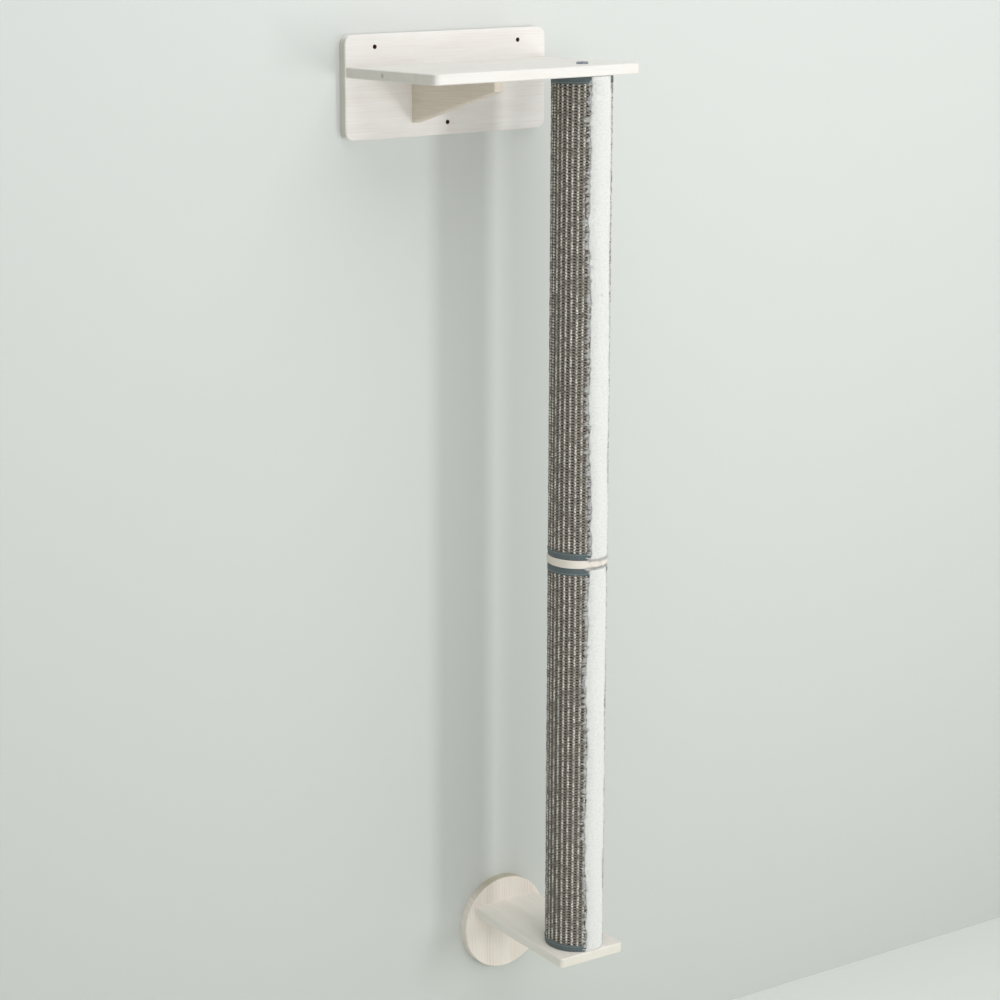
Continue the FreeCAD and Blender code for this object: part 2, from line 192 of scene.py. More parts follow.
def group(name, inputs, outputs):
    """An empty shader node group with named sockets; returns its tree, inputs and outputs."""
    tree = bpy.data.node_groups.new(name, "ShaderNodeTree")
    kinds = {"value": "NodeSocketFloat", "vector": "NodeSocketVector", "colour": "NodeSocketColor"}
    for label, kind in inputs.items():
        tree.interface.new_socket(label, in_out="INPUT", socket_type=kinds[kind])
    for label, kind in outputs.items():
        tree.interface.new_socket(label, in_out="OUTPUT", socket_type=kinds[kind])
    return tree, tree.nodes.new("NodeGroupInput").outputs, tree.nodes.new("NodeGroupOutput").inputs


def use(tree, shared, feeds):
    """A shared group placed in a material; returns its outputs."""
    node = tree.nodes.new("ShaderNodeGroup")
    node.node_tree = shared
    for label, value in feeds.items():
        if isinstance(value, bpy.types.NodeSocket):
            tree.links.new(value, node.inputs[label])
        else:
            node.inputs[label].default_value = value
    return node.outputs


def material(name):
    """A material with a Principled shader; returns it, its tree and the shader."""
    made = bpy.data.materials.new(name)
    made.use_nodes = True
    tree = made.node_tree
    return made, tree, tree.nodes["Principled BSDF"]


def bump(tree, height, strength, distance):
    """A Bump node's normal from a height."""
    return add_node(tree, "ShaderNodeBump", {"Height": height, "Strength": strength,
                                             "Distance": distance}).outputs[0]


def rgb(red, green, blue):
    """A colour given as it looks on a screen, 0 to 255, as the shader wants it."""
    share = np.array([red, green, blue]) / 255
    linear = np.where(share <= 0.04045, share / 12.92, ((share + 0.055) / 1.055) ** 2.4)
    return (*linear.tolist(), 1.0)


# %% [markdown]
# ### Whitewashed wood
# The boards are softwood under a thin white wash. Softwood grows in rings round the trunk, so the
# group measures the distance from a far-off trunk axis that runs along the board. Slow noise
# bends the rings. On a board's face they show as long streaks and on its ends as arcs, with no
# texture to unwrap.

# %% The grain group
grain, ins, outs = group("wood grain", {"Place": "vector", "Trunk": "vector", "Ring gap": "value"},
                         {"Ring": "value", "Fibre": "value", "Wash": "value"})
stretched = add_node(grain, "ShaderNodeVectorMath", {0: ins["Place"], 1: (0.12, 1.0, 1.0)},
                     operation="MULTIPLY").outputs[0]
bent = noise(grain, stretched, 14.0, 2.0)
wobble = times(grain, maths(grain, "SUBTRACT", bent, 0.5), 0.012)
offset = add_node(grain, "ShaderNodeVectorMath", {0: ins["Place"], 1: ins["Trunk"]},
                  operation="SUBTRACT").outputs[0]
across = add_node(grain, "ShaderNodeVectorMath", {0: offset, 1: (0.0, 1.0, 1.0)},
                  operation="MULTIPLY").outputs[0]
distance = add_node(grain, "ShaderNodeVectorMath", {0: across}, operation="LENGTH").outputs["Value"]
turns = maths(grain, "DIVIDE", plus(grain, distance, wobble), ins["Ring gap"])
saw = maths(grain, "FRACT", turns)
late = remap(grain, saw, 0.1, 0.8)
early = remap(grain, saw, 0.86, 1.0, 1.0, 0.0)
streaks = add_node(grain, "ShaderNodeVectorMath", {0: ins["Place"], 1: (0.03, 1.0, 1.0)},
                   operation="MULTIPLY").outputs[0]
broad = noise(grain, stretched, 45.0, 3.0)
grain.links.new(times(grain, late, early), outs["Ring"])
grain.links.new(noise(grain, streaks, 700.0, 4.0, 0.7), outs["Fibre"])
grain.links.new(broad, outs["Wash"])


# %% [markdown]
# Each board gets its own copy of the material with its own grain direction, because a joiner cuts
# the shelf, the gusset and the disc from different boards. A Mapping node turns the board so that
# its grain runs along the group's first axis. Where a saw has cut across the grain, the open ends
# of the fibres drink the wash and look darker; the angle between the face and the grain finds
# those places.

# %% The wood materials
def near_spot(tree, coords, spots, soft):
    """1 inside any of the spots (place, radius), falling to 0 over a soft rim."""
    nearest = None
    for place, radius in spots:
        gap = add_node(tree, "ShaderNodeVectorMath", {0: coords, 1: place}, operation="DISTANCE")
        gap = maths(tree, "SUBTRACT", gap.outputs["Value"], radius)
        nearest = gap if nearest is None else maths(tree, "MINIMUM", nearest, gap)
    return remap(tree, nearest, 0.0, soft, 1.0, 0.0)


def washed_wood(name, turn, trunk, ring_gap, light, dark, rings, fibres, ends,
                bare_holes=(), knots=()):
    """Whitewashed softwood whose grain runs along X after the turn, given in degrees.

    rings, fibres and ends say how strongly each shows. bare_holes are drilled holes (x, z, radius)
    where unwashed wood shows, and knots are round marks (place, radius), both in metres.
    """
    made, tree, shader = material(name)
    coords = add_node(tree, "ShaderNodeTexCoord").outputs["Object"]
    normal = add_node(tree, "ShaderNodeNewGeometry").outputs["Normal"]
    place, face = [add_node(tree, "ShaderNodeMapping", {"Vector": vector}, vector_type="TEXTURE")
                   for vector in (coords, normal)]
    for mapping in (place, face):
        mapping.inputs["Rotation"].default_value = [math.radians(angle) for angle in turn]
    marks = use(tree, grain, {"Place": place.outputs[0], "Trunk": trunk, "Ring gap": ring_gap})
    turned = add_node(tree, "ShaderNodeSeparateXYZ", {0: face.outputs[0]}).outputs
    along = maths(tree, "ABSOLUTE", turned[0])
    faint = times(tree, remap(tree, marks["Wash"], 0.3, 0.7, 0.2, 1.0),
                  remap(tree, along, 0.6, 0.95, 1.0, 0.3))
    ring = times(tree, marks["Ring"], faint)
    fibre = remap(tree, marks["Fibre"], 0.3, 0.75)
    shade = plus(tree, times(tree, ring, rings), times(tree, fibre, fibres))
    blotch = remap(tree, marks["Wash"], 0.35, 0.7, 0.0, 0.12)
    colour = colour_mix(tree, plus(tree, shade, blotch), light, dark)
    cut = remap(tree, along, 0.55, 0.95, 0.0, ends)
    colour = colour_mix(tree, cut, colour, end_grain, "MULTIPLY")
    if knots:
        mark = near_spot(tree, coords, knots, 0.0025)
        colour = colour_mix(tree, mark, colour, rgb(184, 178, 166))
    if bare_holes:
        flat = add_node(tree, "ShaderNodeVectorMath", {0: coords, 1: (1, 0, 1)},
                        operation="MULTIPLY").outputs[0]
        holes = [((x, 0, z), radius) for x, z, radius in bare_holes]
        mark = near_spot(tree, flat, holes, 0.0006)
        colour = colour_mix(tree, mark, colour, rgb(112, 76, 52))
    tree.links.new(colour, shader.inputs["Base Color"])
    tree.links.new(remap(tree, fibre, 0.0, 1.0, 0.5, 0.68), shader.inputs["Roughness"])
    height = plus(tree, fibre, times(tree, ring, 0.8))
    tree.links.new(bump(tree, height, 0.15, 0.0002), shader.inputs["Normal"])
    shader.inputs["Specular IOR Level"].default_value = 0.3
    return made


def dress(name, finish):
    """Give a solid of the frame one material."""
    slots = nodes[name].material_slots
    if slots:
        for slot in slots:
            slot.material = finish
    else:
        nodes[name].data.materials.append(finish)


wash = rgb(241, 239, 236)
streak = rgb(206, 192, 178)
end_grain = rgb(200, 199, 184)
wall_holes = [(-0.125, 0.0, 0.003), (0.125, 0.0, 0.003), (0.0, -0.114, 0.003)]
disc_hole = [(0.1075, -1.3915, 0.003)]
shelf_knot = [((-0.173, -0.109, -0.0346), 0.002)]

dress("wall_plate", washed_wood(
    "plate wood", (0, 0, 0), (0, 0.05, 0.3), 0.0048, wash, streak, 0.06, 0.17, 0.6, wall_holes))
dress("shelf_board", washed_wood(
    "shelf wood", (0, 0, 0), (0, 0.2, -0.06), 0.006, rgb(237, 235, 231), streak,
    0.06, 0.14, 0.4, knots=shelf_knot))
dress("gusset_bracket", washed_wood(
    "gusset wood", (0, 0, 90), (0, 0.02, -0.35), 0.009, rgb(228, 219, 206), rgb(198, 182, 164),
    0.12, 0.4, 0.0))
dress("foot_board", washed_wood(
    "foot board wood", (0, 0, 90), (0, -0.25, -1.40), 0.006, rgb(242, 239, 232),
    rgb(212, 199, 184), 0.14, 0.22, 0.3))
dress("wall_disc", washed_wood(
    "disc wood", (0, 90, 0), (0, 0.06, -0.25), 0.0052, rgb(242, 236, 228), rgb(212, 196, 176),
    0.3, 0.2, 0.9, disc_hole))
dress("spacer_disc", washed_wood(
    "spacer wood", (0, 0, 0), (0, -0.3, -0.5), 0.005, rgb(236, 230, 221), rgb(216, 200, 180),
    0.2, 0.2, 0.2))
dress("gusset_screw_filler", washed_wood(
    "filler", (0, 0, 20), (0, 0.2, 0.3), 0.011, rgb(232, 229, 224), rgb(212, 204, 195),
    0.3, 0.3, 0.0))

# %% [markdown]
# ### Metal and board inside the post
# The bolt head on the shelf is zinc plated: a cool grey metal with fine brushing and a slightly
# uneven polish. The tubes are wound cardboard, whose paper edges climb in a spiral, and the plugs
# are raw wood.

# %% Zinc, cardboard and raw wood
wear, ins, outs = group("handling marks", {"Place": "vector", "Size": "value"},
                        {"Mottle": "value", "Scratches": "value"})
mottle = noise(wear, ins["Place"], ins["Size"], 4.0)
thin = add_node(wear, "ShaderNodeVectorMath", {0: ins["Place"], 1: (1.0, 0.08, 1.0)},
                operation="MULTIPLY").outputs[0]
wear.links.new(mottle, outs["Mottle"])
wear.links.new(noise(wear, thin, 2600.0, 2.0), outs["Scratches"])


def plated(name, base, rough):
    """Plated steel: a grey metal whose colour and polish vary a little."""
    made, tree, shader = material(name)
    coords = add_node(tree, "ShaderNodeTexCoord").outputs["Object"]
    marks = use(tree, wear, {"Place": coords, "Size": 260.0})
    dull = tuple(0.72 * part for part in base[:3]) + (1.0,)
    tree.links.new(colour_mix(tree, remap(tree, marks["Mottle"], 0.3, 0.7), dull, base),
                   shader.inputs["Base Color"])
    tree.links.new(remap(tree, marks["Mottle"], 0.25, 0.75, rough, rough + 0.16),
                   shader.inputs["Roughness"])
    tree.links.new(bump(tree, marks["Scratches"], 0.2, 0.0001), shader.inputs["Normal"])
    shader.inputs["Metallic"].default_value = 1.0
    return made


zinc = plated("zinc plate", rgb(160, 167, 177), 0.3)
yellow_zinc = plated("insert plate", rgb(188, 182, 158), 0.34)
for name in ("top_bolt", "foot_bolt", "joining_stud", "shelf_screws", "gusset_back_screws",
             "gusset_top_screw", "foot_board_screws", "upper_plug_nails", "lower_plug_nails"):
    dress(name, zinc)
for name in ("upper_top_insert", "upper_bottom_insert", "lower_top_insert", "lower_bottom_insert"):
    dress(name, yellow_zinc)

cardboard, tree, shader = material("wound cardboard")
coords = add_node(tree, "ShaderNodeTexCoord").outputs["Object"]
centred = add_node(tree, "ShaderNodeMapping", {"Vector": coords}, vector_type="POINT")
centred.inputs["Location"].default_value = (-axis_x, -axis_y, 0)
parts = add_node(tree, "ShaderNodeSeparateXYZ", {0: centred.outputs[0]}).outputs
round_tube = maths(tree, "DIVIDE", maths(tree, "ARCTAN2", parts[1], parts[0]), 2 * math.pi)
winding = plus(tree, round_tube, maths(tree, "DIVIDE", parts[2], 0.09))
edge = maths(tree, "FRACT", winding)
paper = noise(tree, coords, 700.0, 5.0)
kraft = colour_mix(tree, remap(tree, paper, 0.3, 0.7), rgb(178, 146, 108), rgb(196, 166, 128))
tree.links.new(colour_mix(tree, remap(tree, edge, 0.0, 0.03, 0.6, 0.0), kraft, rgb(120, 94, 66)),
               shader.inputs["Base Color"])
tree.links.new(remap(tree, paper, 0.3, 0.7, 0.75, 0.95), shader.inputs["Roughness"])
tree.links.new(bump(tree, plus(tree, edge, paper), 0.3, 0.0003), shader.inputs["Normal"])
dress("upper_tube", cardboard)
dress("lower_tube", cardboard)

plug_wood = washed_wood(
    "plug wood", (0, 90, 0), (0, -0.05, 0.05), 0.003, rgb(214, 182, 140), rgb(150, 108, 70),
    0.6, 0.5, 0.5)
for name in ("upper_tube_top_plug", "upper_tube_bottom_plug", "lower_tube_top_plug",
             "lower_tube_bottom_plug"):
    dress(name, plug_wood)

# %% [markdown]
# ### Yarn, tape and pile
# Cloth is soft because light scatters among thousands of fibres. One group makes a fibre fuzz,
# stretched along the yarn in the piece's own UV map, and every textile below mixes it into its
# colour and bump.

# %% The fibre group
fuzz, ins, outs = group("fibre fuzz", {"Place": "vector", "Along": "vector"},
                        {"Fibre": "value", "Clump": "value"})
drawn = add_node(fuzz, "ShaderNodeVectorMath", {0: ins["Place"], 1: ins["Along"]},
                 operation="MULTIPLY").outputs[0]
fuzz.links.new(noise(fuzz, drawn, 1.0, 3.0, 0.7), outs["Fibre"])
fuzz.links.new(noise(fuzz, ins["Place"], 0.35, 2.0), outs["Clump"])


def uv_place(tree):
    """The piece's own coordinates."""
    return add_node(tree, "ShaderNodeUVMap", uv_map="UVMap").outputs[0]


def cloth_finish(shader, sheen):
    """Matt, with the soft glow that fibres have at grazing angles."""
    shader.inputs["Sheen Weight"].default_value = sheen
    shader.inputs["Sheen Roughness"].default_value = 0.6
    shader.inputs["Specular IOR Level"].default_value = 0.15


# %% [markdown]
# The carpet has two yarns. Light taupe chains run up the post side by side, one bead per stitch,
# with painted shade where two beads pinch together. Between them a darker ground shows as little
# bars with deep hollows, whose near-black colour is painted shade. Its UV map counts chains across
# and stitches along, so the shader knows which stitch it is on.

# %% Carpet materials
chain_yarn, tree, shader = material("chain yarn")
place = uv_place(tree)
fibres = use(tree, fuzz, {"Place": place, "Along": (26.0, 7.0, 1.0)})
cell = add_node(tree, "ShaderNodeVectorMath", {0: place}, operation="FLOOR").outputs[0]
stitch = add_node(tree, "ShaderNodeTexWhiteNoise", {0: cell}, noise_dimensions="2D").outputs[0]
tone = plus(tree, times(tree, fibres["Fibre"], 0.5),
            plus(tree, times(tree, stitch, 0.26), times(tree, fibres["Clump"], 0.25)))
light = colour_mix(tree, remap(tree, tone, 0.28, 0.7), rgb(106, 101, 93), rgb(238, 234, 226))
along = add_node(tree, "ShaderNodeSeparateXYZ", {0: place}).outputs[1]
from_pinch = maths(tree, "ABSOLUTE", maths(tree, "SUBTRACT", maths(tree, "FRACT", along), 0.5))
# Painted shade: the chain turns dark where two beads pinch together.
pinch_shade = remap(tree, from_pinch, 0.02, 0.2, 0.85, 0.0)
tree.links.new(colour_mix(tree, pinch_shade, light, rgb(72, 67, 60)), shader.inputs["Base Color"])
shader.inputs["Roughness"].default_value = 0.92
tree.links.new(bump(tree, fibres["Fibre"], 0.6, 0.0003), shader.inputs["Normal"])
cloth_finish(shader, 0.0)

ground_yarn, tree, shader = material("ground yarn")
place = uv_place(tree)
fibres = use(tree, fuzz, {"Place": place, "Along": (9.0, 22.0, 1.0)})
parts = add_node(tree, "ShaderNodeSeparateXYZ", {0: place}).outputs
sideways = maths(tree, "SUBTRACT", maths(tree, "FRACT", plus(tree, parts[0], 0.5)), 0.5)
squared = times(tree, sideways, sideways)
bowed = plus(tree, plus(tree, parts[1], times(tree, squared, 2.4)), times(tree, sideways, 0.3))
coarse = add_node(tree, "ShaderNodeVectorMath", {0: place, 1: (2.0, 1.1, 1.0)},
                  operation="MULTIPLY").outputs[0]
stray = times(tree, maths(tree, "SUBTRACT", noise(tree, coarse, 1.0, 2.0), 0.5), 0.7)
step = maths(tree, "SUBTRACT", maths(tree, "FRACT", plus(tree, bowed, stray)), 0.5)
lens = plus(tree, maths(tree, "ABSOLUTE", step), times(tree, squared, 1.6))
frayed = times(tree, maths(tree, "SUBTRACT", fibres["Fibre"], 0.5), 0.12)
# Painted shade: the hollows between the bars are coloured near-black, as if in shadow.
hollow = remap(tree, plus(tree, lens, frayed), 0.12, 0.3, 1.0, 0.0)
bar_tone = colour_mix(tree, remap(tree, fibres["Fibre"], 0.3, 0.7), rgb(100, 94, 86),
                      rgb(160, 154, 144))
tree.links.new(colour_mix(tree, hollow, bar_tone, rgb(26, 23, 20)), shader.inputs["Base Color"])
shader.inputs["Roughness"].default_value = 0.95
raised = plus(tree, times(tree, hollow, -1.0), times(tree, fibres["Fibre"], 0.3))
tree.links.new(bump(tree, raised, 0.7, 0.0006), shader.inputs["Normal"])
cloth_finish(shader, 0.0)

# %% Tape and thread materials
tape_cloth, tree, shader = material("binding tape")
place = uv_place(tree)
fibres = use(tree, fuzz, {"Place": place, "Along": (3.0, 30.0, 1.0)})
parts = add_node(tree, "ShaderNodeSeparateXYZ", {0: place}).outputs
slant = plus(tree, parts[0], times(tree, parts[1], 9.0))
twill = maths(tree, "SINE", times(tree, slant, 2 * math.pi))
tone = plus(tree, times(tree, twill, 0.22), fibres["Fibre"])
tree.links.new(colour_mix(tree, remap(tree, tone, 0.2, 0.85), rgb(66, 78, 82), rgb(114, 126, 127)),
               shader.inputs["Base Color"])
shader.inputs["Roughness"].default_value = 0.85
tree.links.new(bump(tree, tone, 0.5, 0.0002), shader.inputs["Normal"])
cloth_finish(shader, 0.15)

thread, tree, shader = material("stitching thread")
place = uv_place(tree)
fibres = use(tree, fuzz, {"Place": place, "Along": (12.0, 5.0, 1.0)})
tree.links.new(colour_mix(tree, fibres["Fibre"], rgb(126, 139, 141), rgb(168, 178, 178)),
               shader.inputs["Base Color"])
shader.inputs["Roughness"].default_value = 0.7
tree.links.new(bump(tree, fibres["Fibre"], 0.5, 0.0001), shader.inputs["Normal"])
cloth_finish(shader, 0.1)

# %% [markdown]
# The plush is white polyester pile. A plain white would look like plaster, so its colour drifts a
# little between tufts toward a greyer white, painted shade for the shadows among them, and
# thousands of real strands are added later for its outline. The body's white is also duller than
# the strands', painted shade for the pile shadowing itself.

# %% Plush materials
def pile_material(name, light, shade, dent):
    """White pile whose tone drifts from tuft to tuft toward the shade colour, a painted shade."""
    made, tree, shader = material(name)
    place = uv_place(tree)
    fibres = use(tree, fuzz, {"Place": place, "Along": (1.6, 0.8, 1.0)})
    tone = plus(tree, times(tree, fibres["Fibre"], 0.6),
                 times(tree, fibres["Clump"], 0.4))
    tree.links.new(colour_mix(tree, remap(tree, tone, 0.25, 0.6), shade, light),
                   shader.inputs["Base Color"])
    shader.inputs["Roughness"].default_value = 1.0
    tree.links.new(bump(tree, fibres["Fibre"], 0.5, dent), shader.inputs["Normal"])
    cloth_finish(shader, 0.35)
    return made


# Painted shade: the body is a duller white than the strands, and both drift toward a grey shade.
plush_body = pile_material("plush pile", rgb(233, 234, 230), rgb(206, 208, 204), 0.0016)
plush_strand = pile_material("plush strands", rgb(253, 253, 252), rgb(234, 235, 232), 0.0001)

# %% [markdown]
# ## The carpet sleeves
# The real carpet is woven flat and wrapped round the tube, so it is worked out here in two
# directions: chains round the post and stitches up it. The ground's height rises into a bar at
# each stitch and sinks into a hollow between two, deepest midway between two chains.

# %% Sizes of the weave
chain_count = 32
stitch_pitch = 4.35 * mm
carpet_radius = 44.0 * mm
seam_gap = 1.6 * mm
seam_angles = {"upper": 6.5 / 44.0, "lower": 8.0 / 44.0}
tape_width = 11.0 * mm
ground_radius = 42.3
chain_foot = 42.05


def wrap_angle(post, chains):
    """The angle of a place counted in chains from one side of the seam to the other."""
    half_gap = seam_gap / 2 / carpet_radius
    span = 2 * math.pi - 2 * half_gap
    return seam_angles[post] + half_gap + span * chains / chain_count


# %% The ground weave
def ground_weave(post):
    """Radius = the ground's 42.3 mm + 0.5 mm times a squared cosine across each valley + noise."""
    low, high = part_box(post + "_carpet")
    bottom = low.z - mm + tape_width - 2 * mm
    top = high.z + mm - tape_width + 2 * mm
    stitches = (top - bottom) / stitch_pitch
    rows = int(stitches)
    across = np.linspace(0, chain_count, chain_count * 6 + 1)
    u, v = np.meshgrid(across, np.linspace(0, stitches, rows + 1))
    valley = np.floor(u + 0.5).astype(int)
    shift = np.random.default_rng(11).uniform(0, 1, chain_count + 1)[valley]
    rise = 0.5 * np.cos(math.pi * (u + 0.5)) ** 2
    radius = ground_radius + rise + 0.12 * smooth_noise(u.shape, (rows // 2, 90), 5)
    points = round_post(radius * mm, wrap_angle(post, u), bottom + v * stitch_pitch)
    thing = piece(post + "_carpet_weave", points[None], np.stack([u, v + shift], axis=-1)[None])
    thing.data.materials.append(ground_yarn)
    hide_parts(post + "_carpet")
    return thing


# %% The chains
def chains(post):
    """Half-round cords whose width and height swell at each stitch by a cosine, and that sway."""
    low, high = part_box(post + "_carpet")
    bottom = low.z - mm + tape_width - 2 * mm
    top = high.z + mm - tape_width + 2 * mm
    stitches = (top - bottom) / stitch_pitch
    rows = int(stitches * 4)
    rng = np.random.default_rng(23)
    number = np.arange(chain_count)[:, None, None]
    along = np.linspace(0, stitches, rows + 1)[None, :, None]
    side = np.linspace(-1, 1, 5)[None, None, :]
    shift = rng.uniform(0, 1, (chain_count, 1, 1))
    bead = np.cos(2 * math.pi * (along + shift))
    drift = np.stack([smooth_noise((rows + 1, 2), (rows // 5, 1), seed)[:, :1]
                      for seed in range(chain_count)])
    half_width = 1.25 + 0.45 * bead + 0.12 * drift
    height = 1.6 + 0.42 * bead + 0.2 * drift
    sway = 0.55 * np.sin(math.pi * (along + shift)) + 0.25 * drift
    profile = np.sqrt(np.clip(1 - 0.94 * side ** 2, 0, 1))
    radius = (chain_foot + height * profile) * mm
    offset = (sway + half_width * side) * mm
    angle = wrap_angle(post, number + 0.5) + offset / carpet_radius
    points = round_post(radius, angle, bottom + along * stitch_pitch)
    u = number + 0.5 + 0.5 * side + 0 * along
    v = along + shift + 0 * side + 0 * number
    thing = piece(post + "_carpet_chains", points, np.stack(np.broadcast_arrays(u, v), axis=-1))
    thing.data.materials.append(chain_yarn)
    return thing


# %% [markdown]
# ## Binding tapes
# A slate-blue tape is folded over each end of a carpet and stitched near its upper edge. Its
# section is one closed outline, an L with rounded corners, carried round the post from one side
# of the seam to the other. The stitches are tiny lozenges, each only a few faces.

# %% The tapes
def tape(post, end):
    """The L-shaped outline of (radius, distance from the carpet's end), carried round by angle."""
    low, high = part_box(f"{post}_carpet_{end}_tape")
    outline = np.array([(40.25, 0.1), (40.25, 0.9), (42.2, 0.95), (42.5, 1.3), (42.7, 6.0),
                        (43.1, 10.8), (43.3, 11.0), (43.85, 10.95), (44.02, 10.6), (43.9, 9.6),
                        (43.9, 8.9), (43.7, 8.4), (43.8, 7.0), (43.75, 5.0), (43.65, 3.0),
                        (43.5, 1.4), (43.25, 0.5), (42.9, 0.12), (42.2, 0.05), (41.2, 0.05)])
    columns = 181
    u = np.linspace(0, chain_count, columns)
    angle = wrap_angle(post, u)[:, None]
    ripple = 0.06 * smooth_noise((columns, 2), (60, 1), 31)[:, :1] * (outline[:, 0] > 43.2)
    radius = (outline[:, 0] + ripple) * mm
    away = outline[:, 1] * mm
    height = low.z + away if end == "bottom" else high.z - away
    points = round_post(radius, angle, height + 0 * angle)
    girth = np.append(np.cumsum(np.hypot(*np.diff(outline, axis=0).T)), 0)
    girth = np.concatenate([[0], girth[:-1], [girth[-2] + 1]])
    uv = np.stack(np.broadcast_arrays(u[:, None] * 8.6, girth[None, :]), axis=-1)
    if end == "top":
        points = points[::-1]
        uv = uv[::-1]
    thing = piece(f"{post}_{end}_tape", points[None], uv[None], closed=True, capped=True)
    thing.data.materials.append(tape_cloth)
    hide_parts(f"{post}_carpet_{end}_tape")
    return thing


def stitches(post, end):
    """Lozenges 3 mm long, 4.2 mm apart, whose width and height follow a half sine along them."""
    low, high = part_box(f"{post}_carpet_{end}_tape")
    count = 64
    away = 8.65 * mm
    height = low.z + away if end == "bottom" else high.z - away
    number = np.arange(count)[:, None, None]
    along = np.linspace(-1, 1, 5)[None, :, None]
    turn = np.linspace(2 * math.pi, 0, 6, endpoint=False)[None, None, :]
    fat = 0.1 + 0.9 * np.cos(along * math.pi / 2)
    place = (number + 0.5) * chain_count / count
    angle = wrap_angle(post, place) + (1.5 * along) * mm / carpet_radius
    radius = (44.0 + 0.28 * fat * np.cos(turn)) * mm
    z = height + 0.42 * mm * fat * np.sin(turn) + 0.12 * mm * along
    points = round_post(radius, angle, z)
    around = np.linspace(0, 6, 7)[None, None, :]
    uv = np.stack(np.broadcast_arrays(number * 4.0 + along, around), axis=-1)
    thing = piece(f"{post}_{end}_stitches", points, uv, closed=True, capped=True)
    thing.data.materials.append(thread)
    return thing


# %% [markdown]
# ## Plush strips
# A white strip covers each carpet's seam. Its long edges wander, because it was torn from a roll
# and glued by hand, and its middle is full and soft. The body is one closed form, round at its
# edges, with slow swells and fine dents. Strands of pile are then set over it, longest along the
# edges.

# %% The strip's place
strip_width = 38.0
left_overlap = 2.0
glue_radius = 44.12
edge_inset = 0.6
seam_places = {"upper": (10.0, 3.0), "lower": (9.0, 7.0)}


def wander(share, phase):
    """How far a long edge strays, in mm, from a long wave and a shorter one."""
    return 1.8 * (0.6 * np.sin(2 * math.pi * 2.3 * share + phase)
                  + 0.4 * np.sin(2 * math.pi * 5.1 * share + 2 * phase))


def strip_sides(post, share, seed):
    """How far round the carpet, in mm from its foremost line, the strip's two edges lie."""
    bottom, top = seam_places[post]
    middle = bottom + (top - bottom) * share
    rough_left, rough_right = [
        sum(size * np.interp(share, np.linspace(0, 1, knots),
                             np.random.default_rng(seed + side + knots).uniform(-1, 1, knots))
            for size, knots in ((1.6, 30), (1.5, 110)))
        for side in (0, 1)]
    left = middle - strip_width / 2 - left_overlap + wander(share, 0.4) + rough_left
    right = middle + strip_width / 2 + wander(share, 2.1) + 0.6 * rough_right
    return left, right


# %% The strip's body
def plush(post):
    """Section: thin edges rising to a crown of about 4 mm, (1 - across squared) to the power 0.8,
    with slow and fine noise on it.
    """
    low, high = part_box(post + "_plush_strip")
    rows = 360
    share = np.linspace(0, 1, rows)[:, None]
    left, right = strip_sides(post, share, 40)
    across = np.linspace(-1, 1, 29)[None, :]
    crown = (1 - across ** 2) ** 0.8
    slow = smooth_noise((rows, 29), (26, 3), 51)
    fine = smooth_noise((rows, 29), (120, 8), 52)
    swell = 0.4 * slow + 0.2 * fine
    ends = np.clip(np.minimum(share, 1 - share) * 160, 0, 1) ** 0.5
    height = (0.25 + 3.9 * crown + swell * crown) * (0.45 + 0.55 * ends)
    under = np.linspace(0.94, -0.94, 9)[None, :]
    s = np.concatenate([across, under], axis=1)
    offset = (left + right) / 2 + s * ((right - left) / 2 - edge_inset)
    lift = np.concatenate([height, np.zeros((rows, 9))], axis=1)
    z = low.z + (high.z - low.z) * share
    points = round_post((glue_radius + lift) * mm, offset / 44.0, z + 0 * s)
    girth = np.append(np.arange(38), 38)[None, :]
    uv = np.stack(np.broadcast_arrays(girth, share * (high.z - low.z) * 1000), axis=-1)
    thing = piece(post + "_plush", points[None], uv[None], closed=True, capped=True)
    thing.data.materials.append(plush_body)
    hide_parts(post + "_plush_strip")
    return thing


# %% [markdown]
# The pile is a crowd of tapered strands. Along the two edges they lie down over the carpet, long
# and loose, so the strip has no hard border; on its face they are short and stand off only a
# little. Each strand has three sides and two lengths, because thousands of them must stay light.

